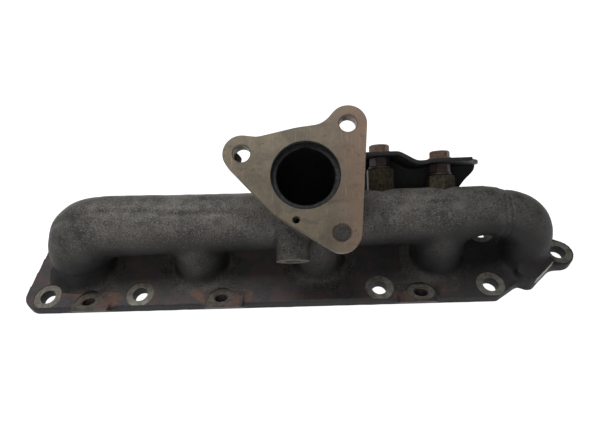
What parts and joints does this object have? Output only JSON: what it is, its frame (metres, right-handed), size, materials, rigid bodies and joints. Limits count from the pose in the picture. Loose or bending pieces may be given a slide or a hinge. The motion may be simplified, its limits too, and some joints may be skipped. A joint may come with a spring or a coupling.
{
  "type": "exhaust manifold",
  "caption": "Cast exhaust manifold: flat head flange, short runners rising into a collector log, a tilted outlet flange on a neck, an elbow to a side port and a screwed-on sheet bracket.",
  "frame": {"origin": "on the gasket face of the head flange, midway between the middle ports, on the ports' centre line", "axes": "+X along the row of ports towards the eared end, +Y from the heat-shield bosses' edge to the bracket's side, +Z out of the cylinder head"},
  "size_m": [0.4269, 0.1092, 0.1294],
  "materials": {
    "cast_skin": "sand-cast skin, heat-darkened, sandy with light rust",
    "rusty_plate": "rusted cast surface, rough",
    "outlet_machined": "machined face, heat-tinted tan",
    "boss_machined": "machined boss faces, dull grey-beige",
    "bracket_black": "matt black pressed sheet steel",
    "bolt_steel": "rusted hexagon heads",
    "nut_steel": "dark purple-brown oxidised steel",
    "spacer_steel": "yellow-passivated steel, dulled"
  },
  "bodies": {
    "root": {"head_flange": "rusty_plate", "runner_1": "cast_skin", "runner_2": "cast_skin", "runner_3": "cast_skin", "runner_4": "cast_skin", "collector_log": "cast_skin", "outlet_neck": "cast_skin", "outlet_flange": "outlet_machined", "sensor_boss": "cast_skin", "egr_elbow": "cast_skin", "side_lug": "rusty_plate", "shield_boss_left": "boss_machined", "shield_boss_middle": "boss_machined", "shield_boss_right": "boss_machined", "bracket": "bracket_black", "bracket_bolt_left": "bolt_steel", "bracket_nut_left": "nut_steel", "bracket_washer_left": "nut_steel", "bracket_spacer_left": "spacer_steel", "bracket_bolt_right": "bolt_steel", "bracket_nut_right": "nut_steel", "bracket_washer_right": "nut_steel", "bracket_spacer_right": "spacer_steel"}
  },
  "joints": []
}
